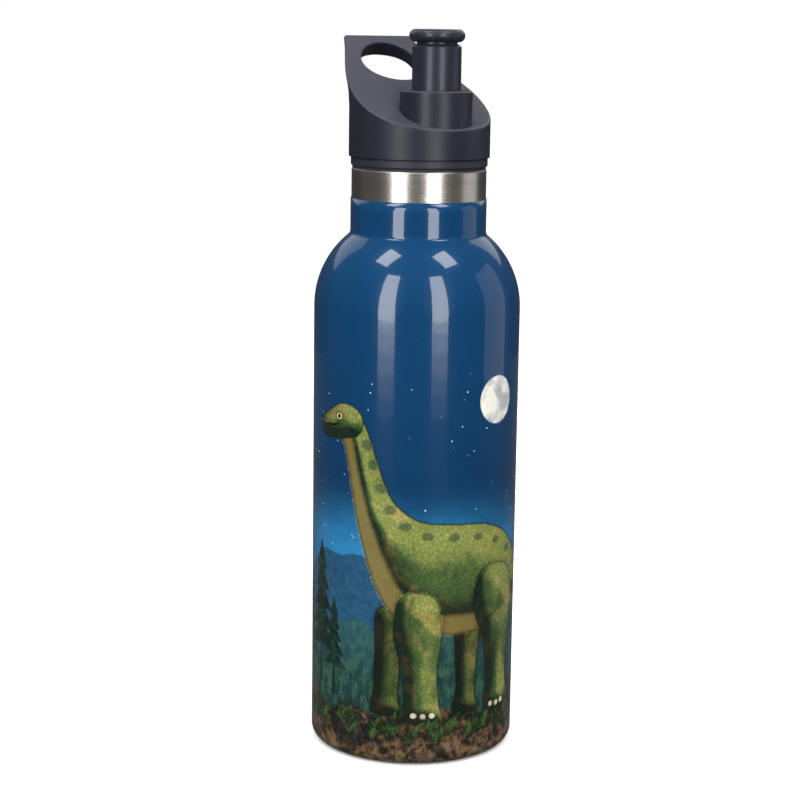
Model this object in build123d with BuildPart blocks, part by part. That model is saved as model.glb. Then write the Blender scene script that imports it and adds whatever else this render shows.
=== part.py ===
from build123d import *
import math
import os

# Insulated drinking bottle for children: a double-wall steel bottle with a screw-in sports cap.
# Millimetres, +Z up. The origin is the centre of the foot on the standing surface.
# The spout stands towards -Y and the carry loop towards +Y.

os.makedirs("parts", exist_ok=True)

# Bottle body, outside the coat
BODY_R = 35.0
NECK_R = 22.95
SHOULDER_Z = 152.0
SHOULDER_ARC_R = 31.25
NECK_BLEND_R = 2.0
FOOT_ARC_R = 4.0
COAT_T = 0.25
COAT_TOP_Z = 188.5
COAT_FOOT_Z = 0.8
CUT_OVER = 1.0  # how far cutting tools reach past what they cut

# Steel walls
STEEL_T = 0.6
MOUTH_Z = 198.5
RIM_T = 0.6
RIM_ROUND_R = 0.36
FOOT_RING_R = 28.9
FOOT_FLANGE_H = 3.0

# Inner vessel
VESSEL_T = 0.5
VESSEL_GAP = 2.9
VESSEL_NECK_R = 21.1
VESSEL_FLOOR_Z = 6.8
VESSEL_FLOOR_ARC_R = 5.0
VESSEL_SEAM_Z = 12.0
FOIL_T = 0.15
FOIL_GAP = 0.1
FOIL_LOW_Z = 16.0
FOIL_TOP_Z = 148.0

# Foot plate and what it carries
PLATE_T = 0.6
PLATE_Z = 2.4
DIMPLE_R = 8.0
DIMPLE_RISE = 1.6
SEAL_R = 4.5
SEAL_T = 0.8
SEAL_ROUND_R = 0.48
PORT_R = 1.125
GETTER_R = 4.0
GETTER_T = 1.5
GETTER_X = 17.0
GETTER_CHAMFER = 0.4

# Neck thread, one start, right-handed
THREAD_PITCH = 4.0
THREAD_BASE_W = 1.8
THREAD_CREST_W = 0.9
THREAD_TURNS = 1.75
NECK_THREAD_CREST_R = 19.55
NECK_THREAD_Z = 187.0
PLUG_THREAD_CREST_R = 20.25
PLUG_THREAD_Z = NECK_THREAD_Z - THREAD_PITCH / 2
THREAD_ROOT_BITE = 0.2

# Threaded plug
PLUG_R = 19.2
PLUG_T = 2.4
PLUG_LOW_Z = 184.0
FLANGE_R = 23.0
FLANGE_LOW_Z = 199.3
FLANGE_TOP_Z = 202.4
FLANGE_EDGE_R = 0.6
WEB_LOW_Z = 200.4
SNAP_T = 0.8
SNAP_H = 3.0
SNAP_FIT = 0.05
DRINK_HOLE_R = 6.0
GASKET_OUTER_R = 22.5
GASKET_CLEARANCE = 0.04
GASKET_BORE_GAP = 0.15
GASKET_ROUND_R = 0.3

# Lid
LID_R = 23.7
LID_T = 2.0
LID_TOP_Z = 242.0
LEAN_START_Z = 219.0
LEAN_FULL_Z = 228.0
LEAN_RATE = 0.46
LEAN_TAPER = 0.1
LEAN_STRETCH = 0.41
LID_BACK = 40.0
ROOF_T = 2.6
HOLLOW_TOP_Z = 211.5
RIM_EDGE_R = 1.0
FINGER_HALF_W = 11.0
FINGER_HALF_H = 9.8
FINGER_DIP = 46.0
FINGER_Y = 19.2
FINGER_Z = 233.2
FINGER_WALL_IN = 3.4
FINGER_EDGE_R = 0.8
LOOP_CORNER_R = 3.0
LOFT_STEPS = 6

# Spout, on an axis in front of the lid's own
SPOUT_Y = -10.6
COLLAR_R = 12.0
COLLAR_TOP_Z = 224.4
COLLAR_STEP_Z = 210.0
COLLAR_FOOT_R = 10.8
COLLAR_FOOT_Z = 203.4
COLLAR_BORE_R = 9.9
COLLAR_GUIDE_R = 8.3
COLLAR_GUIDE_Z = 221.1
COLLAR_FIT = 0.1
COLLAR_ROUND_R = 0.6

NOZZLE_R = 8.1
NOZZLE_LOW_Z = 205.8
NOZZLE_TOP_Z = 239.5
NOZZLE_CHAMFER = 0.9
NOZZLE_TRAVEL = 6.2
NOZZLE_STOP_GAP = 0.3
NOZZLE_FLANGE_R = 9.5
NOZZLE_FLANGE_TOP_Z = COLLAR_GUIDE_Z - NOZZLE_TRAVEL - NOZZLE_STOP_GAP
NOZZLE_BORE_R = 5.4
THROAT_R = 4.1
THROAT_Z = 238.2
TONGUE_R = 6.7
TONGUE_TOP_Z = 243.1
NOZZLE_RING_Z = 210.5
NOZZLE_RING_MINOR_R = 0.9
NOZZLE_RING_MAJOR_R = 8.9
NOZZLE_RING_FIT = 0.03

LIP_R = 9.2
LIP_LOW_Z = 240.1
LIP_TOP_Z = 244.3
LIP_HOLE_R = 4.4
LIP_BEVEL_W = 0.6
LIP_BEVEL_LOW_Z = LIP_TOP_Z - 0.8
LIP_BEVEL_TOP_Z = LIP_TOP_Z - 0.5

POST_R = 2.4
POST_HEAD_R = 3.8
POST_HEAD_LOW_Z = 238.6
POST_HEAD_TOP_Z = 242.5
POST_CONE_H = 1.2
POST_ROUND_R = 0.8
SPIDER_R = 9.7
SPIDER_RING_W = 1.6
SPIDER_LOW_Z = FLANGE_TOP_Z + SNAP_FIT
SPIDER_TOP_Z = 205.2
SPIDER_LEGS = 3
SPIDER_LEG_W = 2.0
SPIDER_LEG_IN = 0.8  # how far a leg ends inside the outer edge of the ring

COLLAR_RING_MINOR_R = 0.48
COLLAR_RING_MAJOR_R = 10.4

# Vent valve
VENT_Y = 9.5
VENT_DISC_R = 4.2
VENT_DISC_T = 0.9
VENT_STEM_R = 1.2
VENT_BULB_R = 1.8
VENT_PORTS = 4
VENT_PORT_R = 0.7
VENT_PORT_CIRCLE_R = 2.7
VENT_FIT = 0.05
VENT_EDGE_T = 0.3
VENT_CROWN_R = 2.5
VENT_CROWN_T = 0.72
VENT_TIP_R = 0.6


def envelope(inset, neck_radius, low, high, foot_arc, mode=Mode.ADD):
    """Revolve the filled outline of the bottle, moved in by inset, into the open part."""
    wall = BODY_R - inset
    arc_r = SHOULDER_ARC_R - inset
    centre = BODY_R - SHOULDER_ARC_R
    neck_z = SHOULDER_Z + math.sqrt(arc_r**2 - (neck_radius - centre) ** 2)
    middle = math.radians(30)
    bulge = (centre + arc_r * math.cos(middle), SHOULDER_Z + arc_r * math.sin(middle))
    with BuildSketch(Plane.XZ) as section:
        with BuildLine():
            Polyline((0, high), (0, low), (wall, low), (wall, SHOULDER_Z))
            ThreePointArc((wall, SHOULDER_Z), bulge, (neck_radius, neck_z))
            Polyline((neck_radius, neck_z), (neck_radius, high), (0, high))
        make_face()
        corners = section.vertices()
        foot = corners.sort_by_distance((wall, low, 0))[0]
        fillet(foot, foot_arc)
        blend = section.vertices().sort_by_distance((neck_radius, neck_z, 0))[0]
        fillet(blend, NECK_BLEND_R + inset)
    revolve(section.sketch, axis=Axis.Z, mode=mode)


def ring(centre_y, low, high, outer, inner, mode=Mode.ADD):
    """Extrude an annulus about a vertical axis at (0, centre_y) into the open part."""
    with BuildSketch(Plane.XY.offset(low)) as section:
        with Locations((0, centre_y)):
            Circle(outer)
            Circle(inner, mode=Mode.SUBTRACT)
    extrude(section.sketch, amount=high - low, mode=mode)


def disc(centre_y, low, high, radius, mode=Mode.ADD):
    """Extrude a full circle about a vertical axis at (0, centre_y) into the open part."""
    with BuildSketch(Plane.XY.offset(low)) as section:
        with Locations((0, centre_y)):
            Circle(radius)
    extrude(section.sketch, amount=high - low, mode=mode)


def thread_ridge(root_radius, crest_radius, start_z):
    """Sweep a trapezoidal thread ridge from the root to the crest radius into the open part."""
    inward = 1 if crest_radius > root_radius else -1
    root = root_radius - inward * THREAD_ROOT_BITE
    half_base = THREAD_BASE_W / 2
    half_crest = THREAD_CREST_W / 2
    with BuildLine() as path:
        Helix(THREAD_PITCH, THREAD_PITCH * THREAD_TURNS, root, center=(0, 0, start_z))
    with BuildSketch(Plane.XZ) as tooth:
        with BuildLine():
            Polyline(
                (root, start_z - half_base),
                (crest_radius, start_z - half_crest),
                (crest_radius, start_z + half_crest),
                (root, start_z + half_base),
                close=True,
            )
        make_face()
    sweep(tooth.sketch, path=path.line, is_frenet=True)


# --- Bottle: outer wall, with the bare neck band and the foot ring it stands on ---
with BuildPart() as outer_shell:
    envelope(COAT_T, NECK_R - COAT_T, 0, MOUTH_Z - RIM_T, FOOT_ARC_R - COAT_T)
    envelope(
        COAT_T + STEEL_T,
        NECK_R - COAT_T - STEEL_T,
        STEEL_T,
        MOUTH_Z,
        FOOT_ARC_R - COAT_T - STEEL_T,
        mode=Mode.SUBTRACT,
    )
    ring(0, 0, FOOT_FLANGE_H, FOOT_RING_R + STEEL_T, FOOT_RING_R)
    disc(0, -CUT_OVER, STEEL_T + CUT_OVER, FOOT_RING_R, mode=Mode.SUBTRACT)
outer_shell.part.label = "outer_shell"

# --- Bottle: paint and print film, from just above the foot to the neck band ---
with BuildPart() as body_coat:
    envelope(0, NECK_R, 0, COAT_TOP_Z, FOOT_ARC_R)
    envelope(COAT_T, NECK_R - COAT_T, 0, COAT_TOP_Z, FOOT_ARC_R - COAT_T, mode=Mode.SUBTRACT)
    disc(0, -CUT_OVER, COAT_FOOT_Z, BODY_R + CUT_OVER, mode=Mode.SUBTRACT)
body_coat.part.label = "body_coat"

# --- Bottle: inner wall, mouth rim and rolled neck thread ---
with BuildPart() as inner_vessel:
    envelope(VESSEL_GAP, VESSEL_NECK_R, VESSEL_FLOOR_Z, MOUTH_Z, VESSEL_FLOOR_ARC_R)
    ring(0, MOUTH_Z - RIM_T, MOUTH_Z, NECK_R - COAT_T, VESSEL_NECK_R - VESSEL_T)
    top_circles = inner_vessel.edges().filter_by(GeomType.CIRCLE).group_by(Axis.Z)[-1]
    fillet(top_circles.sort_by(SortBy.RADIUS)[-1], RIM_ROUND_R)
    envelope(
        VESSEL_GAP + VESSEL_T,
        VESSEL_NECK_R - VESSEL_T,
        VESSEL_FLOOR_Z + VESSEL_T,
        MOUTH_Z,
        VESSEL_FLOOR_ARC_R - VESSEL_T,
        mode=Mode.SUBTRACT,
    )
    disc(0, 0, VESSEL_SEAM_Z, BODY_R, mode=Mode.SUBTRACT)
    thread_ridge(VESSEL_NECK_R - VESSEL_T, NECK_THREAD_CREST_R, NECK_THREAD_Z)
inner_vessel.part.label = "inner_vessel"

# --- Bottle: dished inner bottom, butt welded to the inner wall ---
with BuildPart() as inner_base:
    envelope(VESSEL_GAP, VESSEL_NECK_R, VESSEL_FLOOR_Z, MOUTH_Z, VESSEL_FLOOR_ARC_R)
    envelope(
        VESSEL_GAP + VESSEL_T,
        VESSEL_NECK_R - VESSEL_T,
        VESSEL_FLOOR_Z + VESSEL_T,
        MOUTH_Z,
        VESSEL_FLOOR_ARC_R - VESSEL_T,
        mode=Mode.SUBTRACT,
    )
    disc(0, VESSEL_SEAM_Z, MOUTH_Z + CUT_OVER, BODY_R, mode=Mode.SUBTRACT)
inner_base.part.label = "inner_base"

# --- Bottle: reflective foil round the inner wall, inside the vacuum gap ---
with BuildPart() as reflective_foil:
    foil_r = BODY_R - VESSEL_GAP + FOIL_GAP
    ring(0, FOIL_LOW_Z, FOIL_TOP_Z, foil_r + FOIL_T, foil_r)
reflective_foil.part.label = "reflective_foil"

# --- Bottle: pressed foot plate, welded into the foot ring, with the evacuation dimple ---
with BuildPart() as outer_base:
    with BuildSketch(Plane.XZ):
        with BuildLine():
            Polyline(
                (FOOT_RING_R, PLATE_T),
                (FOOT_RING_R, PLATE_Z + PLATE_T),
                (DIMPLE_R + DIMPLE_RISE, PLATE_Z + PLATE_T),
                (DIMPLE_R, PLATE_Z + PLATE_T + DIMPLE_RISE),
                (0, PLATE_Z + PLATE_T + DIMPLE_RISE),
                (0, PLATE_Z + DIMPLE_RISE),
                (DIMPLE_R - PLATE_T / 2, PLATE_Z + DIMPLE_RISE),
                (DIMPLE_R + DIMPLE_RISE - PLATE_T / 2, PLATE_Z),
                (FOOT_RING_R - PLATE_T, PLATE_Z),
                (FOOT_RING_R - PLATE_T, PLATE_T),
                close=True,
            )
        make_face()
    revolve(axis=Axis.Z)
    disc(0, PLATE_Z, PLATE_Z + DIMPLE_RISE + 2 * PLATE_T, PORT_R, mode=Mode.SUBTRACT)
outer_base.part.label = "outer_base"

# --- Bottle: solder button over the evacuation port ---
with BuildPart() as vacuum_seal:
    seal_top = PLATE_Z + DIMPLE_RISE
    disc(0, seal_top - SEAL_T, seal_top, SEAL_R)
    fillet(vacuum_seal.edges().group_by(Axis.Z)[0], SEAL_ROUND_R)
vacuum_seal.part.label = "vacuum_seal"

# --- Bottle: getter pill on the inside of the foot plate ---
with BuildPart() as getter:
    with BuildSketch(Plane.XY.offset(PLATE_Z + PLATE_T)):
        with Locations((GETTER_X, 0)):
            Circle(GETTER_R)
    extrude(amount=GETTER_T)
    chamfer(getter.edges().group_by(Axis.Z)[-1], GETTER_CHAMFER)
getter.part.label = "getter"

# --- Cap: threaded plug with the flange that shows as a narrow ring under the lid ---
with BuildPart() as cap_insert:
    disc(0, PLUG_LOW_Z, FLANGE_LOW_Z, PLUG_R)
    disc(0, FLANGE_LOW_Z, FLANGE_TOP_Z, FLANGE_R)
    flange_edges = cap_insert.edges().filter_by(GeomType.CIRCLE).group_by(SortBy.RADIUS)[-1]
    fillet(flange_edges, FLANGE_EDGE_R)
    disc(0, PLUG_LOW_Z, WEB_LOW_Z, PLUG_R - PLUG_T, mode=Mode.SUBTRACT)
    snap_top = FLANGE_TOP_Z + SNAP_H
    skirt_r = LID_R - LID_T
    ring(0, FLANGE_TOP_Z, snap_top, skirt_r - SNAP_FIT, skirt_r - SNAP_T)
    disc(SPOUT_Y, FLANGE_TOP_Z, snap_top, COLLAR_FOOT_R + COLLAR_FIT, mode=Mode.SUBTRACT)
    web_low, web_top = WEB_LOW_Z - CUT_OVER, FLANGE_TOP_Z + CUT_OVER
    disc(SPOUT_Y, web_low, web_top, DRINK_HOLE_R, mode=Mode.SUBTRACT)
    disc(VENT_Y, web_low, web_top, VENT_STEM_R + VENT_FIT, mode=Mode.SUBTRACT)
    with BuildSketch(Plane.XY.offset(web_low)):
        with Locations((0, VENT_Y)):
            with PolarLocations(VENT_PORT_CIRCLE_R, VENT_PORTS):
                Circle(VENT_PORT_R)
    extrude(amount=web_top - web_low, mode=Mode.SUBTRACT)
    thread_ridge(PLUG_R, PLUG_THREAD_CREST_R, PLUG_THREAD_Z)
cap_insert.part.label = "cap_insert"

# --- Cap: flat gasket between the flange and the mouth rim ---
with BuildPart() as cap_gasket:
    ring(
        0,
        MOUTH_Z + GASKET_CLEARANCE,
        FLANGE_LOW_Z - GASKET_CLEARANCE,
        GASKET_OUTER_R,
        PLUG_R + GASKET_BORE_GAP,
    )
    gasket_edges = cap_gasket.edges().filter_by(GeomType.CIRCLE).group_by(SortBy.RADIUS)[-1]
    fillet(gasket_edges, GASKET_ROUND_R)
cap_gasket.part.label = "cap_gasket"

# Side view of the scooped top, from the front rim to the loop's top edge, as (y, z)
scoop_points = [
    (-25.0, 212.0),
    (-12.0, 215.7),
    (5.0, 224.3),
    (17.0, 231.4),
    (26.5, 239.2),
    (31.5, 245.0),
]

# Front view of the loop: down its right side, as (x, z), just outside the lid's own surface
loop_side = [(0, LID_TOP_Z), (14.4, LID_TOP_Z), (16.9, 237.0), (27.0, 222.0), (27.0, 200.0)]


def scoop_region(drop, ceiling):
    """Return the area under the scoop curve, moved down by drop and cut off at the ceiling."""
    lowered = [(y, z - drop) for y, z in scoop_points]
    low = FLANGE_TOP_Z - CUT_OVER
    front, back = lowered[0], lowered[-1]
    with BuildSketch(Plane.YZ) as section:
        with BuildLine():
            Spline(*lowered)
            Polyline(back, (LID_BACK, back[1]), (LID_BACK, low), (front[0], low), front)
        make_face()
        with Locations((0, (low + ceiling) / 2)):
            Rectangle(3 * LID_BACK, ceiling - low, mode=Mode.INTERSECT)
    return section.sketch


def lid_outline(z):
    """Return the lid's plan outline at height z: a circle that leans back into the loop's ellipse."""
    rise = max(0.0, z - LEAN_START_Z)
    bend = LEAN_FULL_Z - LEAN_START_Z
    shift = LEAN_RATE * (rise**2 / (2 * bend) if rise < bend else rise - bend / 2)
    with BuildSketch(Plane.XY.offset(z)) as outline:
        with Locations((0, shift)):
            Ellipse(LID_R - LEAN_TAPER * shift, LID_R + LEAN_STRETCH * shift)
    return outline.sketch


def loop_view():
    """Return the loop's front view, with its two top corners rounded."""
    foot_x, foot_z = loop_side[-1]
    with BuildSketch(Plane.XZ) as view:
        with BuildLine():
            Polyline(*loop_side)
            mirror(about=Plane.YZ)
            Line((-foot_x, foot_z), (foot_x, foot_z))
        make_face()
        fillet(view.vertices().group_by(Axis.Y)[-1], LOOP_CORNER_R)
    return view.sketch


# The lid's hollow: it follows the scoop's underside, and stays inside the skirt
with BuildPart() as lid_hollow:
    extrude(scoop_region(ROOF_T, HOLLOW_TOP_Z), amount=LID_R, both=True)
    with BuildSketch(Plane.XY.offset(FLANGE_TOP_Z - CUT_OVER)):
        Circle(LID_R - LID_T)
    extrude(amount=HOLLOW_TOP_Z, mode=Mode.INTERSECT)

# --- Cap: lid with the scooped top and the leaning carry loop ---
with BuildPart() as cap_shell:
    disc(0, FLANGE_TOP_Z, LEAN_START_Z, LID_R)
    lean_step = (LID_TOP_Z - LEAN_START_Z) / LOFT_STEPS
    loft([lid_outline(LEAN_START_Z + step * lean_step) for step in range(LOFT_STEPS + 1)])
    extrude(scoop_region(0, LID_TOP_Z), amount=LID_BACK, both=True, mode=Mode.INTERSECT)
    scoop = cap_shell.faces().sort_by_distance((0, *scoop_points[2]))[0]
    top_edges = cap_shell.edges().group_by(Axis.Z)[-1]
    loop_back = top_edges.filter_by(lambda e: e.center().Y > FINGER_Y + FINGER_HALF_W)
    fillet(scoop.edges() + loop_back, RIM_EDGE_R)
    extrude(loop_view(), amount=LID_BACK, both=True, mode=Mode.INTERSECT)
    dip = math.radians(FINGER_DIP)
    finger_axis = (0, math.cos(dip), -math.sin(dip))
    with BuildSketch(Plane(origin=(0, FINGER_Y, FINGER_Z), x_dir=(1, 0, 0), z_dir=finger_axis)):
        Ellipse(FINGER_HALF_W, FINGER_HALF_H)
    extrude(amount=LID_BACK, both=True, mode=Mode.SUBTRACT)
    wall_point = Vector(-FINGER_HALF_W, FINGER_Y, FINGER_Z) + FINGER_WALL_IN * Vector(*finger_axis)
    finger_wall = cap_shell.faces().sort_by_distance(wall_point)[0]
    fillet(finger_wall.edges().filter_by(GeomType.LINE, reverse=True), FINGER_EDGE_R)
    add(lid_hollow.part, mode=Mode.SUBTRACT)
    disc(SPOUT_Y, COLLAR_STEP_Z, LID_TOP_Z, COLLAR_R + COLLAR_FIT, mode=Mode.SUBTRACT)
    socket_top = COLLAR_STEP_Z + CUT_OVER
    disc(SPOUT_Y, FLANGE_TOP_Z, socket_top, COLLAR_FOOT_R + COLLAR_FIT, mode=Mode.SUBTRACT)
cap_shell.part.label = "cap_shell"

# --- Cap: collar that houses the spout ---
with BuildPart() as spout_collar:
    disc(SPOUT_Y, COLLAR_STEP_Z, COLLAR_TOP_Z, COLLAR_R)
    fillet(spout_collar.edges().group_by(Axis.Z)[-1], COLLAR_ROUND_R)
    disc(SPOUT_Y, COLLAR_FOOT_Z, COLLAR_STEP_Z, COLLAR_FOOT_R)
    disc(SPOUT_Y, COLLAR_FOOT_Z - CUT_OVER, COLLAR_GUIDE_Z, COLLAR_BORE_R, mode=Mode.SUBTRACT)
    disc(SPOUT_Y, COLLAR_GUIDE_Z, COLLAR_TOP_Z + CUT_OVER, COLLAR_GUIDE_R, mode=Mode.SUBTRACT)
spout_collar.part.label = "spout_collar"

spout_plane = Plane(origin=(0, SPOUT_Y, 0), x_dir=(1, 0, 0), z_dir=(0, -1, 0))
spout_axis = Axis((0, SPOUT_Y, 0), (0, 0, 1))

# --- Cap: ring that seals the collar's foot on the insert ---
with BuildPart() as collar_o_ring:
    ring_z = (FLANGE_TOP_Z + COLLAR_FOOT_Z) / 2
    with BuildSketch(spout_plane):
        with Locations((COLLAR_RING_MAJOR_R, ring_z)):
            Circle(COLLAR_RING_MINOR_R)
    revolve(axis=spout_axis)
collar_o_ring.part.label = "collar_o_ring"

# --- Cap: centre post on its spider; the head plugs the closed spout ---
with BuildPart() as valve_post:
    ring(SPOUT_Y, SPIDER_LOW_Z, SPIDER_TOP_Z, SPIDER_R, SPIDER_R - SPIDER_RING_W)
    with BuildSketch(Plane.XY.offset(SPIDER_LOW_Z)):
        with Locations((0, SPOUT_Y)):
            leg_length = SPIDER_R - SPIDER_LEG_IN
            with PolarLocations(leg_length / 2, SPIDER_LEGS, start_angle=90):
                Rectangle(leg_length, SPIDER_LEG_W)
    extrude(amount=SPIDER_TOP_Z - SPIDER_LOW_Z)
    round_start = (POST_HEAD_R, POST_HEAD_TOP_Z - POST_ROUND_R)
    round_end = (POST_HEAD_R - POST_ROUND_R, POST_HEAD_TOP_Z)
    with BuildSketch(spout_plane):
        with BuildLine():
            Polyline(
                (0, SPIDER_LOW_Z),
                (POST_R, SPIDER_LOW_Z),
                (POST_R, POST_HEAD_LOW_Z - POST_CONE_H),
                (POST_HEAD_R, POST_HEAD_LOW_Z),
                round_start,
            )
            TangentArc(round_start, round_end, tangent=(0, 1))
            Polyline(round_end, (0, POST_HEAD_TOP_Z), (0, SPIDER_LOW_Z))
        make_face()
    revolve(axis=spout_axis)
valve_post.part.label = "valve_post"

# --- Spout: sliding tube ---
with BuildPart() as nozzle_sleeve:
    with BuildSketch(spout_plane):
        with BuildLine():
            Polyline(
                (NOZZLE_BORE_R, NOZZLE_LOW_Z),
                (NOZZLE_FLANGE_R, NOZZLE_LOW_Z),
                (NOZZLE_FLANGE_R, NOZZLE_FLANGE_TOP_Z),
                (NOZZLE_R, NOZZLE_FLANGE_TOP_Z),
                (NOZZLE_R, NOZZLE_TOP_Z - NOZZLE_CHAMFER),
                (NOZZLE_R - NOZZLE_CHAMFER, NOZZLE_TOP_Z),
                (TONGUE_R, NOZZLE_TOP_Z),
                (TONGUE_R, TONGUE_TOP_Z),
                (THROAT_R, TONGUE_TOP_Z),
                (THROAT_R, THROAT_Z),
                (NOZZLE_BORE_R, THROAT_Z - (NOZZLE_BORE_R - THROAT_R)),
                close=True,
            )
        make_face()
        with Locations((NOZZLE_RING_MAJOR_R, NOZZLE_RING_Z)):
            Circle(NOZZLE_RING_MINOR_R, mode=Mode.SUBTRACT)
    revolve(axis=spout_axis)
nozzle_sleeve.part.label = "nozzle_sleeve"

# --- Spout: ring that seals the sliding tube in the collar ---
with BuildPart() as nozzle_o_ring:
    with BuildSketch(spout_plane):
        with Locations((NOZZLE_RING_MAJOR_R, NOZZLE_RING_Z)):
            Circle(NOZZLE_RING_MINOR_R - NOZZLE_RING_FIT)
    revolve(axis=spout_axis)
nozzle_o_ring.part.label = "nozzle_o_ring"

# --- Spout: soft lip, moulded over the tube's tongue ---
with BuildPart() as mouthpiece:
    lip_mid = (LIP_LOW_Z + LIP_TOP_Z) / 2
    lip_flat_r = LIP_R - (LIP_TOP_Z - LIP_LOW_Z) / 2
    with BuildSketch(spout_plane):
        with BuildLine():
            Polyline(
                (lip_flat_r, LIP_LOW_Z),
                (TONGUE_R, LIP_LOW_Z),
                (TONGUE_R, TONGUE_TOP_Z),
                (LIP_HOLE_R, TONGUE_TOP_Z),
                (LIP_HOLE_R, LIP_BEVEL_LOW_Z),
                (LIP_HOLE_R + LIP_BEVEL_W, LIP_BEVEL_TOP_Z),
                (lip_flat_r, LIP_TOP_Z),
            )
            ThreePointArc((lip_flat_r, LIP_TOP_Z), (LIP_R, lip_mid), (lip_flat_r, LIP_LOW_Z))
        make_face()
    revolve(axis=spout_axis)
mouthpiece.part.label = "mouthpiece"

# --- Cap: umbrella vent valve, disc below the web and bulb above it ---
with BuildPart() as vent_valve:
    web_t = FLANGE_TOP_Z - WEB_LOW_Z
    with BuildSketch(Plane(origin=(0, VENT_Y, 0), x_dir=(1, 0, 0), z_dir=(0, -1, 0))):
        with BuildLine():
            Polyline(
                (0, WEB_LOW_Z - VENT_DISC_T),
                (VENT_CROWN_R, WEB_LOW_Z - VENT_CROWN_T),
                (VENT_DISC_R, WEB_LOW_Z - VENT_EDGE_T),
                (VENT_DISC_R, WEB_LOW_Z),
                (VENT_STEM_R, WEB_LOW_Z),
                (VENT_STEM_R, FLANGE_TOP_Z),
                (VENT_BULB_R, FLANGE_TOP_Z),
                (VENT_TIP_R, FLANGE_TOP_Z + web_t),
                (0, FLANGE_TOP_Z + web_t),
                close=True,
            )
        make_face()
    revolve(axis=Axis((0, VENT_Y, 0), (0, 0, 1)))
vent_valve.part.label = "vent_valve"

export_step(outer_shell.part, "parts/outer_shell.step")
export_step(body_coat.part, "parts/body_coat.step")
export_step(inner_vessel.part, "parts/inner_vessel.step")
export_step(inner_base.part, "parts/inner_base.step")
export_step(reflective_foil.part, "parts/reflective_foil.step")
export_step(outer_base.part, "parts/outer_base.step")
export_step(vacuum_seal.part, "parts/vacuum_seal.step")
export_step(getter.part, "parts/getter.step")
export_step(cap_insert.part, "parts/cap_insert.step")
export_step(cap_gasket.part, "parts/cap_gasket.step")
export_step(cap_shell.part, "parts/cap_shell.step")
export_step(spout_collar.part, "parts/spout_collar.step")
export_step(collar_o_ring.part, "parts/collar_o_ring.step")
export_step(valve_post.part, "parts/valve_post.step")
export_step(nozzle_sleeve.part, "parts/nozzle_sleeve.step")
export_step(nozzle_o_ring.part, "parts/nozzle_o_ring.step")
export_step(mouthpiece.part, "parts/mouthpiece.step")
export_step(vent_valve.part, "parts/vent_valve.step")
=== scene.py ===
import math

import bpy
import numpy as np
from mathutils import Matrix, Vector


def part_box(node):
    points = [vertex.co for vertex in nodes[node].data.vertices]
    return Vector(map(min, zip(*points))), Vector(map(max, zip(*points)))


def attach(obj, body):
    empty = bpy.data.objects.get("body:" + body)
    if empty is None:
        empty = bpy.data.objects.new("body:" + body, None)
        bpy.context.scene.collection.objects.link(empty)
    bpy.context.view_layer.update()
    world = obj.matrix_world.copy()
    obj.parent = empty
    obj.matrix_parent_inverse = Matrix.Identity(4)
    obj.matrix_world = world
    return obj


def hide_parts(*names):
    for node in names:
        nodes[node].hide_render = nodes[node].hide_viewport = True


# Looks of an insulated drinking bottle for children: glossy printed steel, a bare steel neck and
# a dark sports cap. Metres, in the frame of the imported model; picture sizes are millimetres.

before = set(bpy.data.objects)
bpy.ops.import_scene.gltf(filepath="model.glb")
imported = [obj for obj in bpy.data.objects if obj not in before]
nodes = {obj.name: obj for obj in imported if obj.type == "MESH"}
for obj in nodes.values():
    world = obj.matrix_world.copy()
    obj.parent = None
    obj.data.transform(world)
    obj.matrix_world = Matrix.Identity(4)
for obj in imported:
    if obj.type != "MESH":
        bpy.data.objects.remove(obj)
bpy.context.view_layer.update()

MM = 0.001

# Camera
VIEW_AZIMUTH = math.radians(-30.0)
CAMERA_DISTANCE = 0.65917
CAMERA_HEIGHT = 0.24165
CAMERA_PITCH = 0.1838
CAMERA_YAW = -0.0081
CAMERA_ROLL = 0.0137
FOCAL_PIXELS = 1953.17
IMAGE_PIXELS = 800
SENSOR_MM = 36.0

# Studio
HORIZON_STRENGTH = 0.3
ZENITH_STRENGTH = 1.9
MIRRORED_STRENGTH = 0.09
STRIP_DISTANCE = 1.15
STRIP_HEIGHT = 1.24
STRIP_STEP = 0.02
STRIP_FADE = (0.62, 0.4, 0.24, 0.12, 0.05)
CEILING_DISTANCE = 0.75
CEILING_HEIGHT = 1.47
CEILING_SIZE = (0.42, 0.5)
CEILING_WATTS = 5.0
BACK_DISTANCE = 1.5
BACK_HEIGHT = 0.9
BACK_SIZE = (0.9, 1.2)

# Cards that only reflections see
CARD_DISTANCE = 0.85
CARD_HEIGHT = 0.42


def add_camera():
    cos_p, sin_p = math.cos(CAMERA_PITCH), math.sin(CAMERA_PITCH)
    cos_y, sin_y = math.cos(CAMERA_YAW), math.sin(CAMERA_YAW)
    cos_r, sin_r = math.cos(CAMERA_ROLL), math.sin(CAMERA_ROLL)
    forward = Vector((sin_y * cos_p, cos_y * cos_p, -sin_p))
    level = Vector((cos_y, -sin_y, 0.0))
    upright = level.cross(forward)
    right = cos_r * level + sin_r * upright
    up = cos_r * upright - sin_r * level
    turn = Matrix.Rotation(VIEW_AZIMUTH, 3, "Z")
    axes = Matrix((turn @ right, turn @ up, turn @ -forward)).transposed()
    place = turn @ Vector((0.0, -CAMERA_DISTANCE, CAMERA_HEIGHT))
    data = bpy.data.cameras.new("camera")
    data.sensor_width = SENSOR_MM
    data.lens = FOCAL_PIXELS / IMAGE_PIXELS * SENSOR_MM
    data.clip_start = 0.01
    camera = bpy.data.objects.new("camera", data)
    camera.matrix_world = Matrix.Translation(place) @ axes.to_4x4()
    bpy.context.scene.collection.objects.link(camera)
    bpy.context.scene.camera = camera


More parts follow.
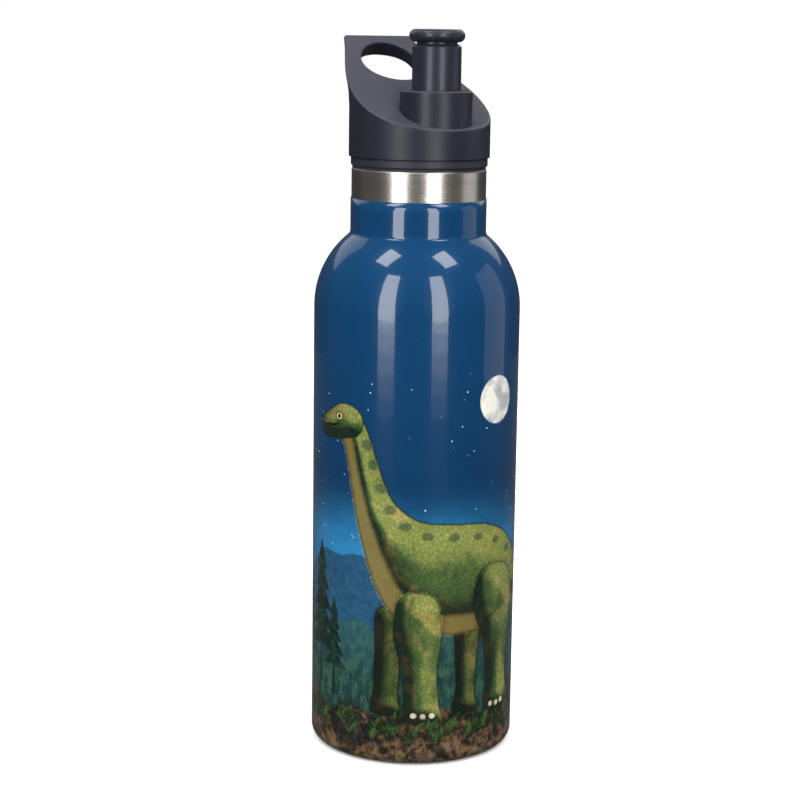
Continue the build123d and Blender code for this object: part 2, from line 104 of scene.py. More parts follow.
def around(azimuth, distance, height):
    """A point at an azimuth in degrees to the right of the camera's side, seen from the bottle."""
    angle = VIEW_AZIMUTH - math.pi / 2 + math.radians(azimuth)
    return Vector((distance * math.cos(angle), distance * math.sin(angle), height))


def add_light(name, place, target, size, watts):
    data = bpy.data.lights.new(name, "AREA")
    data.shape = "RECTANGLE"
    data.size, data.size_y = size
    data.energy = watts
    light = bpy.data.objects.new(name, data)
    light.location = place
    light.rotation_euler = (target - place).to_track_quat("-Z", "Y").to_euler()
    light.visible_camera = False
    bpy.context.scene.collection.objects.link(light)


def add_card(name, azimuth, width):
    """A dark card beside the set that only mirror reflections see, as a photographer's flag."""
    foot = around(azimuth, CARD_DISTANCE, 0.0)
    side = Vector((-foot.y, foot.x, 0.0)).normalized() * (width / 2)
    rise = Vector((0.0, 0.0, CARD_HEIGHT))
    mesh = bpy.data.meshes.new(name)
    corners = [foot - side, foot + side, foot + side + rise, foot - side + rise]
    mesh.from_pydata(corners, [], [(0, 1, 2, 3)])
    g = Graph(name)
    g.set(base_color=(0.03, 0.03, 0.035), roughness=1.0)
    mesh.materials.append(g.material)
    card = bpy.data.objects.new(name, mesh)
    card.visible_camera = False
    card.visible_diffuse = False
    card.visible_shadow = False
    bpy.context.scene.collection.objects.link(card)


def add_world():
    """White behind the set, dim where the set is mirrored, and light from above for the rest."""
    world = bpy.data.worlds.new("studio")
    world.use_nodes = True
    tree = world.node_tree
    direction = tree.nodes.new("ShaderNodeTexCoord").outputs["Generated"]
    split = tree.nodes.new("ShaderNodeSeparateXYZ")
    tree.links.new(direction, split.inputs[0])
    rise = tree.nodes.new("ShaderNodeMapRange")
    rise.inputs["From Min"].default_value = 0.0
    rise.inputs["To Min"].default_value = HORIZON_STRENGTH
    rise.inputs["To Max"].default_value = ZENITH_STRENGTH
    tree.links.new(split.outputs["Z"], rise.inputs["Value"])
    soft = tree.nodes["Background"]
    tree.links.new(rise.outputs["Result"], soft.inputs["Strength"])
    path = tree.nodes.new("ShaderNodeLightPath")
    result = soft.outputs[0]
    for flag, strength in (("Is Glossy Ray", MIRRORED_STRENGTH), ("Is Camera Ray", 1.0)):
        plain = tree.nodes.new("ShaderNodeBackground")
        plain.inputs["Strength"].default_value = strength
        blend = tree.nodes.new("ShaderNodeMixShader")
        tree.links.new(path.outputs[flag], blend.inputs["Fac"])
        tree.links.new(result, blend.inputs[1])
        tree.links.new(plain.outputs[0], blend.inputs[2])
        result = blend.outputs[0]
    for node in tree.nodes:
        if node.type == "BACKGROUND":
            node.inputs["Color"].default_value = (1.0, 1.0, 1.0, 1.0)
    tree.links.new(result, tree.nodes["World Output"].inputs["Surface"])
    bpy.context.scene.world = world


def add_strip(name, azimuth, width, watts):
    """An upright strip light whose lower end fades out in short steps."""
    middle = STRIP_HEIGHT / 2
    lamp = around(azimuth, STRIP_DISTANCE, middle)
    add_light(name, lamp, around(0.0, 0.0, middle), (width, STRIP_HEIGHT), watts)
    for step, share in enumerate(STRIP_FADE):
        height = -STRIP_STEP * (step + 0.5)
        power = watts * share * STRIP_STEP / STRIP_HEIGHT
        lamp = around(azimuth, STRIP_DISTANCE, height)
        add_light(f"{name}_{step}", lamp, around(0.0, 0.0, height), (width, STRIP_STEP), power)


def add_studio():
    add_world()
    middle = Vector((0.0, 0.0, 0.14))
    add_strip("strip_left", -33.0, 0.38, 10.5)
    add_strip("strip_right", 25.5, 0.36, 9.5)
    for name, azimuth in (("ceiling_left", -63.0), ("ceiling_right", 58.0)):
        lamp = around(azimuth, CEILING_DISTANCE, CEILING_HEIGHT)
        add_light(name, lamp, middle, CEILING_SIZE, CEILING_WATTS)
    add_light("window_right", around(97.0, 1.3, 0.45), Vector((0, 0, 0.45)), (0.8, 1.1), 1.6)
    for name, azimuth, watts in (("back_left", -140.0, 2.4), ("back_right", 150.0, 3.0)):
        add_light(name, around(azimuth, BACK_DISTANCE, BACK_HEIGHT), middle, BACK_SIZE, watts)
    add_card("flag_left", -138.0, 0.75)
    add_card("flag_right", 143.0, 0.62)


# Node helpers


class Graph:
    """A material's node tree with short calls for the nodes used here."""

    def __init__(self, name):
        self.material = bpy.data.materials.new(name)
        self.material.use_nodes = True
        self.tree = self.material.node_tree
        self.shader = self.tree.nodes["Principled BSDF"]

    def link(self, value, socket):
        if isinstance(value, bpy.types.NodeSocket):
            self.tree.links.new(value, socket)
        elif socket.type == "RGBA" and len(value) == 3:
            socket.default_value = (*value, 1.0)
        else:
            socket.default_value = value

    def set(self, **values):
        for name, value in values.items():
            self.link(value, self.shader.inputs[name.replace("_", " ").title().replace("Ior", "IOR")])

    def coords(self, scale=(1.0, 1.0, 1.0)):
        source = self.tree.nodes.new("ShaderNodeTexCoord").outputs["Object"]
        mapping = self.tree.nodes.new("ShaderNodeMapping")
        mapping.inputs["Scale"].default_value = scale
        self.tree.links.new(source, mapping.inputs["Vector"])
        return mapping.outputs["Vector"]

    def noise(self, scale, vector=None, detail=3.0, rough=0.5, warp=0.0):
        node = self.tree.nodes.new("ShaderNodeTexNoise")
        node.inputs["Scale"].default_value = scale
        node.inputs["Detail"].default_value = detail
        node.inputs["Roughness"].default_value = rough
        node.inputs["Distortion"].default_value = warp
        self.tree.links.new(vector or self.coords(), node.inputs["Vector"])
        return node.outputs["Fac"]

    def relief(self, sample, shift, vector, gain):
        """A pattern lit from one side: the difference of two samples a little apart, about a half."""
        apart = self.tree.nodes.new("ShaderNodeVectorMath")
        apart.inputs[1].default_value = shift
        self.tree.links.new(vector, apart.inputs[0])
        gap = self.math("SUBTRACT", sample(vector), sample(apart.outputs["Vector"]))
        return self.math("MULTIPLY_ADD", gap, gain, 0.5)

    def cells(self, scale, feature="F1"):
        node = self.tree.nodes.new("ShaderNodeTexVoronoi")
        node.feature = feature
        node.inputs["Scale"].default_value = scale
        self.tree.links.new(self.coords(), node.inputs["Vector"])
        return node.outputs["Distance"]

    def math(self, operation, first, second=0.0, third=0.0):
        node = self.tree.nodes.new("ShaderNodeMath")
        node.operation = operation
        self.link(first, node.inputs[0])
        self.link(second, node.inputs[1])
        self.link(third, node.inputs[2])
        return node.outputs[0]

    def ramp(self, value, low, high, out_low=0.0, out_high=1.0):
        node = self.tree.nodes.new("ShaderNodeMapRange")
        node.interpolation_type = "SMOOTHSTEP"
        self.link(value, node.inputs["Value"])
        node.inputs["From Min"].default_value = low
        node.inputs["From Max"].default_value = high
        node.inputs["To Min"].default_value = out_low
        node.inputs["To Max"].default_value = out_high
        return node.outputs["Result"]

    def mix(self, factor, first, second):
        node = self.tree.nodes.new("ShaderNodeMix")
        node.data_type = "RGBA"
        self.link(factor, node.inputs["Factor"])
        colours = [s for s in node.inputs if s.type == "RGBA"]
        self.link(first, colours[0])
        self.link(second, colours[1])
        return [s for s in node.outputs if s.type == "RGBA"][0]

    def bump(self, height, distance):
        node = self.tree.nodes.new("ShaderNodeBump")
        node.inputs["Distance"].default_value = distance
        self.tree.links.new(height, node.inputs["Height"])
        return node.outputs["Normal"]

    def attribute(self, name):
        node = self.tree.nodes.new("ShaderNodeAttribute")
        node.attribute_name = name
        return node.outputs["Fac"]


PLASTIC_SHINE = 0.36


def moulded(name, dark, light, rough, grain, grain_depth, coat=0.0, top_light=0.0):
    """Injection-moulded plastic: a fine eroded texture, faint flow marks and handling scuffs.

    Faces that look up are painted paler in specks, a painted top light; the last argument says how much.
    """
    g = Graph(name)
    flow = g.noise(38.0, g.coords((1.0, 1.0, 0.35)), 2.0)
    speck = g.noise(grain, None, 2.0, 0.6)
    scuff = g.ramp(g.noise(170.0, g.coords((1.0, 1.0, 3.0)), 6.0, 0.7), 0.62, 0.74)
    tone = g.mix(flow, dark, light)
    # Painted top light: faces that look up are made paler, in specks, as if lit from above.
    if top_light:
        split = g.tree.nodes.new("ShaderNodeSeparateXYZ")
        g.tree.links.new(g.tree.nodes.new("ShaderNodeNewGeometry").outputs["Normal"], split.inputs[0])
        upward = g.ramp(split.outputs["Z"], 0.15, 0.75, 0.0, top_light)
        painted_top_light = g.math("MULTIPLY", upward, g.ramp(speck, 0.2, 0.8, 0.7, 1.0))
        tone = g.mix(painted_top_light, tone, (0.13, 0.135, 0.17))
    g.set(base_color=g.mix(g.math("MULTIPLY", scuff, 0.12), tone, (0.16, 0.16, 0.18)))
    worn = g.math("MULTIPLY", scuff, 0.12)
    g.set(roughness=g.math("ADD", g.ramp(flow, 0.3, 0.7, rough - 0.03, rough + 0.04), worn))
    g.set(coat_weight=coat, coat_roughness=0.12, specular_ior_level=PLASTIC_SHINE)
    g.set(normal=g.bump(speck, grain_depth))
    return g.material


def metal(name, colour, rough, stretch, depth, worn=0.06):
    """Bare metal with fine lines along the directions that stretch leaves short."""
    g = Graph(name)
    lines = g.noise(900.0, g.coords(stretch), 4.0, 0.65)
    broad = g.noise(60.0, g.coords(stretch), 2.0)
    smudge = g.noise(55.0, None, 3.0)
    dull = tuple(0.8 * c for c in colour)
    tone = g.mix(g.ramp(broad, 0.3, 0.75), dull, colour)
    g.set(base_color=g.mix(g.ramp(lines, 0.4, 0.7, 0.0, 0.25), tone, tuple(0.5 * c for c in colour)))
    fine = g.ramp(lines, 0.3, 0.7, rough - 0.02, rough + 0.02)
    g.set(roughness=g.math("ADD", fine, g.ramp(smudge, 0.45, 0.8, 0.0, worn)))
    g.set(metallic=1.0, normal=g.bump(lines, depth))
    return g.material


def floor_material():
    g = Graph("studio_floor")
    g.set(base_color=(0.9, 0.9, 0.9), roughness=0.8)
    return g.material


# Printed picture. Outlines are closed loops of (distance to the right of the front, height) in mm.

GIRTH = 2.0 * math.pi * 35.0
REACH = 4.0
DEPTH = 20.0
BATCH = 4000
TREE_TIERS = 5
FERN_FANS = 46
FERN_BLADES = 5
EDGE_ROWS = 24

# How far in from its outline each shape goes on rising, for the light on it
ROUNDNESS = {"far_legs": 6.0, "body": 16.0, "head": 6.5, "front_leg": 7.0, "hind_leg": 9.0, "rocks": 8.0}

# A long-necked plant eater, drawn round its own middle, which stands ANIMAL_S right of the front
ANIMAL_S = 8.0
BODY = [
    (-31, 119.5), (-26, 117.5), (-22.5, 110), (-19, 100), (-14.5, 91), (-6, 85), (6, 83.5), (18, 82.5),
    (29, 78), (38, 70), (50, 60.5), (62, 53.5), (76, 49.5), (90, 48.5), (100, 51), (90, 45.5), (76, 44.5),
    (62, 46), (48, 48.5), (36, 50), (24, 47.5), (10, 46), (-4, 47), (-13, 51.5), (-19.5, 60), (-24, 71),
    (-27.5, 83), (-30, 95), (-32, 105), (-34.5, 112), (-35, 117),
]
BELLY = [
    (-37, 112), (-31, 112), (-28.5, 104), (-26, 94), (-22.5, 83), (-18, 72), (-12, 61), (-3, 54), (10, 52),
    (24, 53), (36, 53.5), (50, 50.5), (62, 47.5), (48, 45), (36, 46), (24, 43.5), (10, 42), (-4, 43),
    (-16, 48), (-23, 58), (-28, 70), (-31.5, 82), (-34, 94), (-36, 104),
]
HEAD = [
    (-26, 118), (-29, 121.5), (-34.5, 122.5), (-40, 120), (-45, 116.5), (-46.5, 113), (-43.5, 110.6),
    (-37, 110.4), (-31, 111.5), (-27, 113.5),
]
SMILE = [(-46, 114.6), (-42, 114.0), (-38, 114.4), (-34.8, 116.2), (-38, 115.3), (-42, 114.9)]
EYE_PLACE = (-36.0, 118.0)
NOSTRIL_PLACE = (-43.6, 116.0)
FRONT_LEG = [
    (-12, 59), (-1, 59), (2, 47), (0.5, 33), (1.5, 21), (2.5, 15.5), (-9.5, 15.5), (-10.5, 22), (-11, 34),
    (-14, 47),
]
HIND_LEG = [
    (18, 67), (31, 66), (37, 54), (34.5, 40), (32, 28), (33.5, 16), (20, 16), (20, 28), (18, 42), (14, 55),
]
FAR_LEGS = [
    [(-20, 54), (-11, 54), (-12, 36), (-12.5, 24), (-12, 18.5), (-21.5, 18.5), (-21, 26), (-20.5, 40)],
    [(7, 54), (17, 54), (15.5, 36), (15, 24), (15.5, 18.5), (6.5, 18.5), (7.5, 26), (7, 40)],
]
NAIL_PLACES = [(-7.2, 18.0), (-4.0, 17.6), (-0.9, 17.9), (22.8, 18.4), (26.2, 18.0), (29.4, 18.2)]
BOULDERS = [
    (-68.0, 19.0, 12.0, 10.0), (-53.0, 15.0, 7.0, 6.0), (-22.0, 12.0, 9.0, 7.0), (56.0, 18.0, 11.0, 10.0),
    (69.0, 14.0, 7.0, 6.0), (98.0, 20.0, 13.0, 12.0), (-96.0, 17.0, 10.0, 9.0),
]
VOLCANO = [
    (80, 40), (92, 50), (101, 64), (107, 77), (111, 78.5), (115, 76.5), (119, 77.5), (126, 64), (136, 52),
    (150, 40), (136, 30), (96, 30),
]
LAVA = [
    (107.6, 78), (110, 72), (108.5, 64), (111.5, 54), (113.5, 61), (113, 69), (116.5, 62), (117, 71),
    (118.5, 77), (113, 78.2),
]
SMOKE = [
    (110, 78), (104, 86), (106, 95), (99, 101), (103, 110), (114, 113), (124, 107), (122, 97), (126, 89),
    (118, 79),
]
MOON = (31.0, 124.0, 8.0)
TREES = [
    (-62.0, 30.0, 36.0), (-48.0, 28.0, 30.0), (-38.0, 30.0, 42.0), (-30.0, 27.0, 27.0), (58.0, 34.0, 40.0),
    (70.0, 34.0, 26.0), (20.0, 26.0, 21.0),
    (82.0, 32.0, 33.0), (146.0, 40.0, 26.0), (-88.0, 30.0, 38.0), (-76.0, 34.0, 24.0),
]


def smooth_loop(points, steps=6):
    """A closed Catmull-Rom curve through the points."""
    before, here = np.roll(points, 1, 0), np.array(points, float)
    after, last = np.roll(points, -1, 0), np.roll(points, -2, 0)
    t = (np.arange(steps) / steps)[None, :, None]
    before, here, after, last = (p[:, None, :] for p in (before, here, after, last))
    curve = 2 * here + (after - before) * t + (2 * before - 5 * here + 4 * after - last) * t**2
    curve = curve + (3 * here - before - 3 * after + last) * t**3
    return (curve / 2).reshape(-1, 2)


def from_outline(s, z, outline):
    """Distance from each point to the outline, positive inside, cut off REACH outside it."""
    found = np.full(s.shape, -REACH)
    for turn in (-GIRTH, 0.0, GIRTH):
        start = outline + (turn, 0.0)
        end = np.roll(start, -1, 0)
        low, high = start.min(0) - REACH, start.max(0) + REACH
        near = np.flatnonzero((s > low[0]) & (s < high[0]) & (z > low[1]) & (z < high[1]))
        for part in np.array_split(near, len(near) // BATCH + 1):
            px, pz = s[part, None], z[part, None]
            along, down = (end - start).T
            share = ((px - start[:, 0]) * along + (pz - start[:, 1]) * down) / (along**2 + down**2)
            share = share.clip(0.0, 1.0)
            gap = np.hypot(px - start[:, 0] - share * along, pz - start[:, 1] - share * down).min(1)
            spans = (start[:, 1] > pz) != (end[:, 1] > pz)
            cross = start[:, 0] + (pz - start[:, 1]) * along / np.where(down == 0.0, 1.0, down)
            inside = (spans & (px < cross)).sum(1) % 2 == 1
            found[part] = np.maximum(found[part], np.where(inside, gap, -np.minimum(gap, REACH)))
    return found


def moved(points, ds):
    return [(x + ds, y) for x, y in points]


def oval(s, z, across, up):
    turns = np.arange(8) * math.pi / 4
    return [(s + across * math.cos(turn), z + up * math.sin(turn)) for turn in turns]


def tree_parts(s, foot, height):
    """Outlines of one conifer: a trunk and five tiers that narrow towards the top."""
    middle = foot + height * 0.5
    parts = [[(s - 0.9, foot - 6), (s + 0.9, foot - 6), (s + 0.5, middle), (s - 0.5, middle)]]
    for k in range(TREE_TIERS):
        reach = height * (0.23 - 0.036 * k)
        low = foot + height * (0.14 + 0.165 * k)
        parts.append([(s - reach, low), (s, low + 1.1), (s + reach, low), (s, low + height * 0.27)])
    return parts


def fern_leaves():
    """Slender blades in fans along the ground, all round the body."""
    leaves = []
    for k in range(FERN_FANS):
        s = GIRTH * (k / FERN_FANS - 0.5) + 1.6 * math.sin(1.9 * k)
        foot = 11.0 + 2.0 * math.sin(2.7 * k)
        for j in range(FERN_BLADES):
            angle = math.radians(28 + 31 * j + 9 * math.sin(1.3 * k + j))
            reach = 6.5 + 2.2 * math.sin(2.2 * k + 1.7 * j)
            x, y = math.cos(angle), math.sin(angle)
            leaves.append([(s, foot - 2.0), (s + x * reach * 0.5 - y * 0.8, foot + y * reach * 0.6),
                           (s + x * reach * 1.1, foot + y * reach - 1.2 * abs(x)),
                           (s + x * reach * 0.5 + y * 0.8, foot + y * reach * 0.45)])
    return leaves


def back_spots():
    """Oval spots in a row below the ridge of the neck, back and tail."""
    ridge = smooth_loop(BODY[:14], 4)[3:50:3]
    return [oval(x, y - 4.5, 2.4 - 0.06 * i, 1.8 - 0.05 * i) for i, (x, y) in enumerate(ridge)]


def blurred(field, sigma):
    """The field, which repeats round the body, softened over sigma cells."""
    pad = np.pad(field, ((EDGE_ROWS, EDGE_ROWS), (0, 0)), mode="edge")
    wave_z = np.fft.fftfreq(pad.shape[0])[:, None]
    wave_s = np.fft.fftfreq(pad.shape[1])[None, :]
    keep = np.exp(-2.0 * (math.pi * sigma) ** 2 * (wave_z**2 + wave_s**2))
    return np.real(np.fft.ifft2(np.fft.fft2(pad) * keep))[EDGE_ROWS:-EDGE_ROWS]


def form_light(distance, roundness, cell):
    """Light on a shape that swells to a rounded body, lit from the upper right."""
    rise = (distance / roundness).clip(0.0, 1.0)
    height = blurred(roundness * np.sqrt(1.0 - (1.0 - rise) ** 2), 1.6)
    slope_z, slope_s = np.gradient(height, cell)
    facing = -0.42 * slope_s - 0.62 * slope_z + 0.66
    return (facing / np.sqrt(1.0 + slope_s**2 + slope_z**2)).clip(0.0, 1.0)


def picture_fields(s, z, cell):
    """Every field that the print's material reads, on a grid of distance and height."""
    shape = s.shape
    s, z = s.ravel(), z.ravel()

    def union(outlines, steps=6):
        best = np.full(s.shape, -REACH)
        for points in outlines:
            outline = smooth_loop(points, steps) if steps else np.array(points, float)
            best = np.maximum(best, from_outline(s, z, outline))
        return best

    scenery = {"volcano": VOLCANO, "lava": LAVA, "smoke": SMOKE}
    fields = {name: union([points]) for name, points in scenery.items()}
    animal = {
        "body": [BODY], "belly": [BELLY], "head": [HEAD], "smile": [SMILE], "far_legs": FAR_LEGS,
        "front_leg": [FRONT_LEG], "hind_leg": [HIND_LEG], "spots": back_spots(),
        "eye": [oval(*EYE_PLACE, 1.5, 1.3)], "pupil": [oval(*EYE_PLACE, 0.8, 0.9)],
        "nostril": [oval(*NOSTRIL_PLACE, 0.7, 0.4)],
        "nails": [oval(*place, 1.2, 1.1) for place in NAIL_PLACES],
    }
    for name, outlines in animal.items():
        fields[name] = union([moved(points, ANIMAL_S) for points in outlines])
    fields["belly"] = np.minimum(fields["belly"], fields["body"])
    fields["spots"] = np.minimum(fields["spots"], fields["body"])
    fields["rocks"] = union([oval(*boulder) for boulder in BOULDERS])
    fields["ferns"] = union(fern_leaves(), 3)
    fields["trees"] = union([part for tree in TREES for part in tree_parts(*tree)], 0)
    turn = s / GIRTH * 2.0 * math.pi
    peaks = 68.0 + 5.0 * np.sin(2 * turn + 2.0) + 3.0 * np.sin(5 * turn) + 1.4 * np.sin(11 * turn + 1.0)
    hills = 50.0 + 3.0 * np.sin(3 * turn + 0.5) + 2.0 * np.sin(7 * turn) + 1.2 * np.sin(13 * turn + 2.0)
    ground = 18.0 + 1.6 * np.sin(4 * turn + 1.0) + 1.0 * np.sin(9 * turn) + 0.5 * np.sin(23 * turn)
    for name, top in (("peaks", peaks), ("hills", hills), ("ground", ground)):
        fields[name] = (top - z).clip(-REACH, DEPTH)
    fields["moon"] = (MOON[2] - np.hypot(s - MOON[0], z - MOON[1])).clip(-REACH, REACH)
    fields["glow"] = np.exp(-(((z - 66.0) / 24.0) ** 2)) * (0.6 + 0.2 * np.cos(turn))
    light = np.full(shape, 0.6)
    for name, roundness in ROUNDNESS.items():
        mine = fields[name].reshape(shape)
        light = np.where(mine > -0.4, form_light(mine, roundness, cell), light)
    fields["light"] = light.ravel()
    return fields


# Printed coat: one closed film over the steel, with the picture carried in its vertices

RING = 336
CELL = GIRTH / RING
COAT_T = 0.25
FOOT_ARC_R = 4.0
SHOULDER_Z = 152.0
SHOULDER_ARC_R = 31.25
NECK_R = 22.95
NECK_BLEND_R = 2.0
PICTURE_TOP_Z = 147.0
FOOT_ROWS = 5
OUTER_ARC_ROWS = 28
INNER_ARC_ROWS = 12


def arc(middle, radius, start, end, steps):
    """Points on an arc in the plane of radius and height, without its first point."""
    angles = np.linspace(start, end, steps + 1)[1:]
    return [(middle[0] + radius * math.cos(a), middle[1] + radius * math.sin(a)) for a in angles]


def coat_outline(inset, low, high, wall_rows, arc_rows):
    """(radius, height) of one face of the coat, from the foot to the neck band."""
    wall = GIRTH / (2.0 * math.pi) - inset
    foot = (wall + inset - FOOT_ARC_R, FOOT_ARC_R)
    foot_r = FOOT_ARC_R - inset
    start = math.asin((low - foot[1]) / foot_r)
    points = [(foot[0] + foot_r * math.cos(start), low)]
    points += arc(foot, foot_r, start, 0.0, FOOT_ROWS)
    for top, rows in zip((PICTURE_TOP_Z, SHOULDER_Z), wall_rows):
        points += [(wall, float(z)) for z in np.linspace(points[-1][1], top, rows + 1)[1:]]
    centre = wall + inset - SHOULDER_ARC_R
    shoulder_r = SHOULDER_ARC_R - inset
    blend_r = NECK_BLEND_R + inset
    blend_x = NECK_R + NECK_BLEND_R
    blend_z = SHOULDER_Z + math.sqrt((shoulder_r + blend_r) ** 2 - (blend_x - centre) ** 2)
    meet = math.atan2(blend_z - SHOULDER_Z, blend_x - centre)
    points += arc((centre, SHOULDER_Z), shoulder_r, 0.0, meet, arc_rows)
    points += arc((blend_x, blend_z), blend_r, math.pi + meet, math.pi, arc_rows // 4)
    points += [(NECK_R - inset, float(z)) for z in np.linspace(blend_z, high, 4)[1:]]
    return points


def build_coat():
    low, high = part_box("body_coat")
    low_z, high_z = low[2] / MM, high[2] / MM
    picture_rows = round((PICTURE_TOP_Z - FOOT_ARC_R) / CELL)
    outer = coat_outline(0.0, low_z, high_z, (picture_rows, 2), OUTER_ARC_ROWS)
    inner = coat_outline(COAT_T, low_z, high_z, (6, 1), INNER_ARC_ROWS)
    rows = np.array(outer + inner[::-1])
    turn = (np.arange(RING) / RING - 0.5) * 2.0 * math.pi
    angle = turn + VIEW_AZIMUTH - math.pi / 2
    x = rows[:, :1] * np.cos(angle) * MM
    y = rows[:, :1] * np.sin(angle) * MM
    z = np.repeat(rows[:, 1:] * MM, RING, 1)
    index = np.arange(len(rows) * RING).reshape(len(rows), RING)
    right = np.roll(index, -1, 1)
    above = np.roll(index, -1, 0)
    quads = np.stack((index, right, np.roll(above, -1, 1), above), -1).reshape(-1, 4)
    mesh = bpy.data.meshes.new("printed_coat")
    mesh.from_pydata(np.stack((x, y, z), -1).reshape(-1, 3), [], quads.tolist())
    end_rows = [len(outer) - 1, len(rows) - 1]
    row_of = np.arange(len(quads)) // RING
    mesh.polygons.foreach_set("use_smooth", ~np.isin(row_of, end_rows))
    count = sum(1 for _, height in outer if height <= PICTURE_TOP_Z + 0.01)
    s, height = np.meshgrid(turn * GIRTH / (2.0 * math.pi), rows[:count, 1])
    for name, field in picture_fields(s, height, CELL).items():
        values = np.full(len(index) * RING, field.min(), np.float32)
        values[: field.size] = field
        mesh.attributes.new(name, "FLOAT", "POINT").data.foreach_set("value", values)
    coat = bpy.data.objects.new("printed_coat", mesh)
    bpy.context.scene.collection.objects.link(coat)
    return coat


INK = (0.004, 0.006, 0.004)


def lay(g, below, above, name, shade=0.0, ink=0.0, soft=0.14, ragged=None, line=0.55):
    """Paint a shape over what is below it, with a soft shadow round it and an inked outline."""
    d = g.attribute(name)
    if ragged:
        d = g.math("ADD", d, ragged)
    if shade:
        below = g.mix(g.ramp(d, -2.6, 0.0, 0.0, shade), below, INK)
    colour = g.mix(g.ramp(d, -soft, soft), below, above)
    if ink:
        edge = g.math("ABSOLUTE", d)
        colour = g.mix(g.ramp(edge, 0.12, line, ink, 0.0), colour, INK)
    return colour


def skin(g, shade, wide, scale):
    """Leaf-green hide: dark hollows, lighter tops and fine scales."""
    brush = g.math("MULTIPLY_ADD", g.math("SUBTRACT", wide, 0.5), 0.7, shade)
    tone = g.mix(g.ramp(brush, 0.15, 0.60), (0.006, 0.014, 0.008), (0.050, 0.090, 0.026))
    tone = g.mix(g.ramp(brush, 0.55, 0.95), tone, (0.22, 0.26, 0.065))
    worn = g.ramp(g.noise(80.0, None, 5.0, 0.6, 0.8), 0.48, 0.64, 0.0, 0.6)
    tone = g.mix(worn, tone, g.mix(g.ramp(brush, 0.2, 0.9), (0.05, 0.035, 0.010), (0.42, 0.34, 0.10)))
    return g.mix(g.math("MULTIPLY", scale, 0.35), tone, (0.008, 0.020, 0.008))


def paint_sky(g, height, wide):
    """Night sky with a glow over the horizon, stars and a pale moon."""
    colour = g.mix(g.ramp(height, 40.0, 150.0), (0.0016, 0.024, 0.067), (0.0010, 0.035, 0.103))
    lit = g.math("MULTIPLY", g.attribute("glow"), g.ramp(wide, 0.2, 0.75, 0.75, 1.1))
    colour = g.mix(g.ramp(lit, 0.1, 0.8), colour, (0.02, 0.18, 0.38))
    star = g.ramp(g.cells(620.0), 0.17, 0.10)
    star = g.math("MULTIPLY", star, g.ramp(g.noise(330.0, None, 1.0), 0.6, 0.68))
    star = g.math("MULTIPLY", star, g.ramp(height, 138.0, 128.0))
    colour = g.mix(star, colour, (0.7, 0.85, 1.0))
    seas = g.noise(110.0, None, 5.0, 0.6, 0.5)
    moon = g.mix(g.ramp(seas, 0.42, 0.6), (0.38, 0.40, 0.40), (0.74, 0.73, 0.66))
    return lay(g, colour, moon, "moon", soft=0.25)


def rocky(g, fine):
    """The light on broken rock, about a half."""
    boulders = g.coords((1.0, 1.0, 0.8))
    shift = (0.0004, -0.0003, 0.0014)
    crag = g.relief(lambda v: g.noise(120.0, v, 8.0, 0.66, 0.25), shift, boulders, 2.6)
    return g.math("MULTIPLY_ADD", g.math("SUBTRACT", fine, 0.5), 0.7, crag)


def paint_distance(g, colour, fine, crag, rough_edge):
    """Far range, volcano, wooded hills and conifers."""
    range_blue = g.mix(g.ramp(fine, 0.3, 0.7), (0.010, 0.055, 0.115), (0.020, 0.085, 0.16))
    colour = lay(g, colour, range_blue, "peaks", soft=0.3, ragged=rough_edge)
    smoke = g.mix(g.ramp(fine, 0.35, 0.7), (0.02, 0.03, 0.06), (0.16, 0.13, 0.18))
    colour = lay(g, colour, smoke, "smoke", soft=1.6, ragged=rough_edge)
    ash = g.mix(g.ramp(crag, 0.35, 0.9), (0.010, 0.007, 0.012), (0.10, 0.05, 0.055))
    colour = lay(g, colour, ash, "volcano", ragged=rough_edge)
    hot = g.mix(g.ramp(fine, 0.35, 0.7), (0.75, 0.10, 0.01), (1.0, 0.55, 0.08))
    colour = lay(g, colour, hot, "lava", soft=0.4, ragged=rough_edge)
    leaf = g.ramp(g.noise(420.0, g.coords((1.0, 1.0, 0.5)), 4.0, 0.7), 0.42, 0.62)
    leafy = g.mix(leaf, (0.006, 0.022, 0.018), (0.030, 0.080, 0.040))
    deep = g.ramp(g.attribute("hills"), 0.0, 30.0)
    wood = g.mix(deep, g.mix(0.45, leafy, (0.03, 0.12, 0.16)), leafy)
    colour = lay(g, colour, wood, "hills", soft=0.3, ragged=rough_edge)
    conifer = g.mix(g.ramp(fine, 0.4, 0.65), (0.003, 0.012, 0.010), (0.010, 0.038, 0.024))
    return lay(g, colour, conifer, "trees", soft=0.16, ragged=g.math("MULTIPLY", rough_edge, 0.5))


def paint_ground(g, colour, light, crag, rough_edge):
    soil = g.mix(g.ramp(crag, 0.32, 0.75), (0.014, 0.011, 0.007), (0.15, 0.085, 0.038))
    colour = lay(g, colour, soil, "ground", soft=0.5, ragged=rough_edge)
    stone = g.mix(g.ramp(crag, 0.30, 0.60), (0.014, 0.010, 0.010), (0.095, 0.060, 0.045))
    stone = g.mix(g.ramp(crag, 0.60, 0.95), stone, (0.30, 0.22, 0.16))
    stone = g.mix(g.ramp(light, 0.75, 0.35, 0.0, 0.85), stone, (0.010, 0.008, 0.008))
    return lay(g, colour, stone, "rocks", 0.5, 0.5, soft=0.25, ragged=rough_edge)


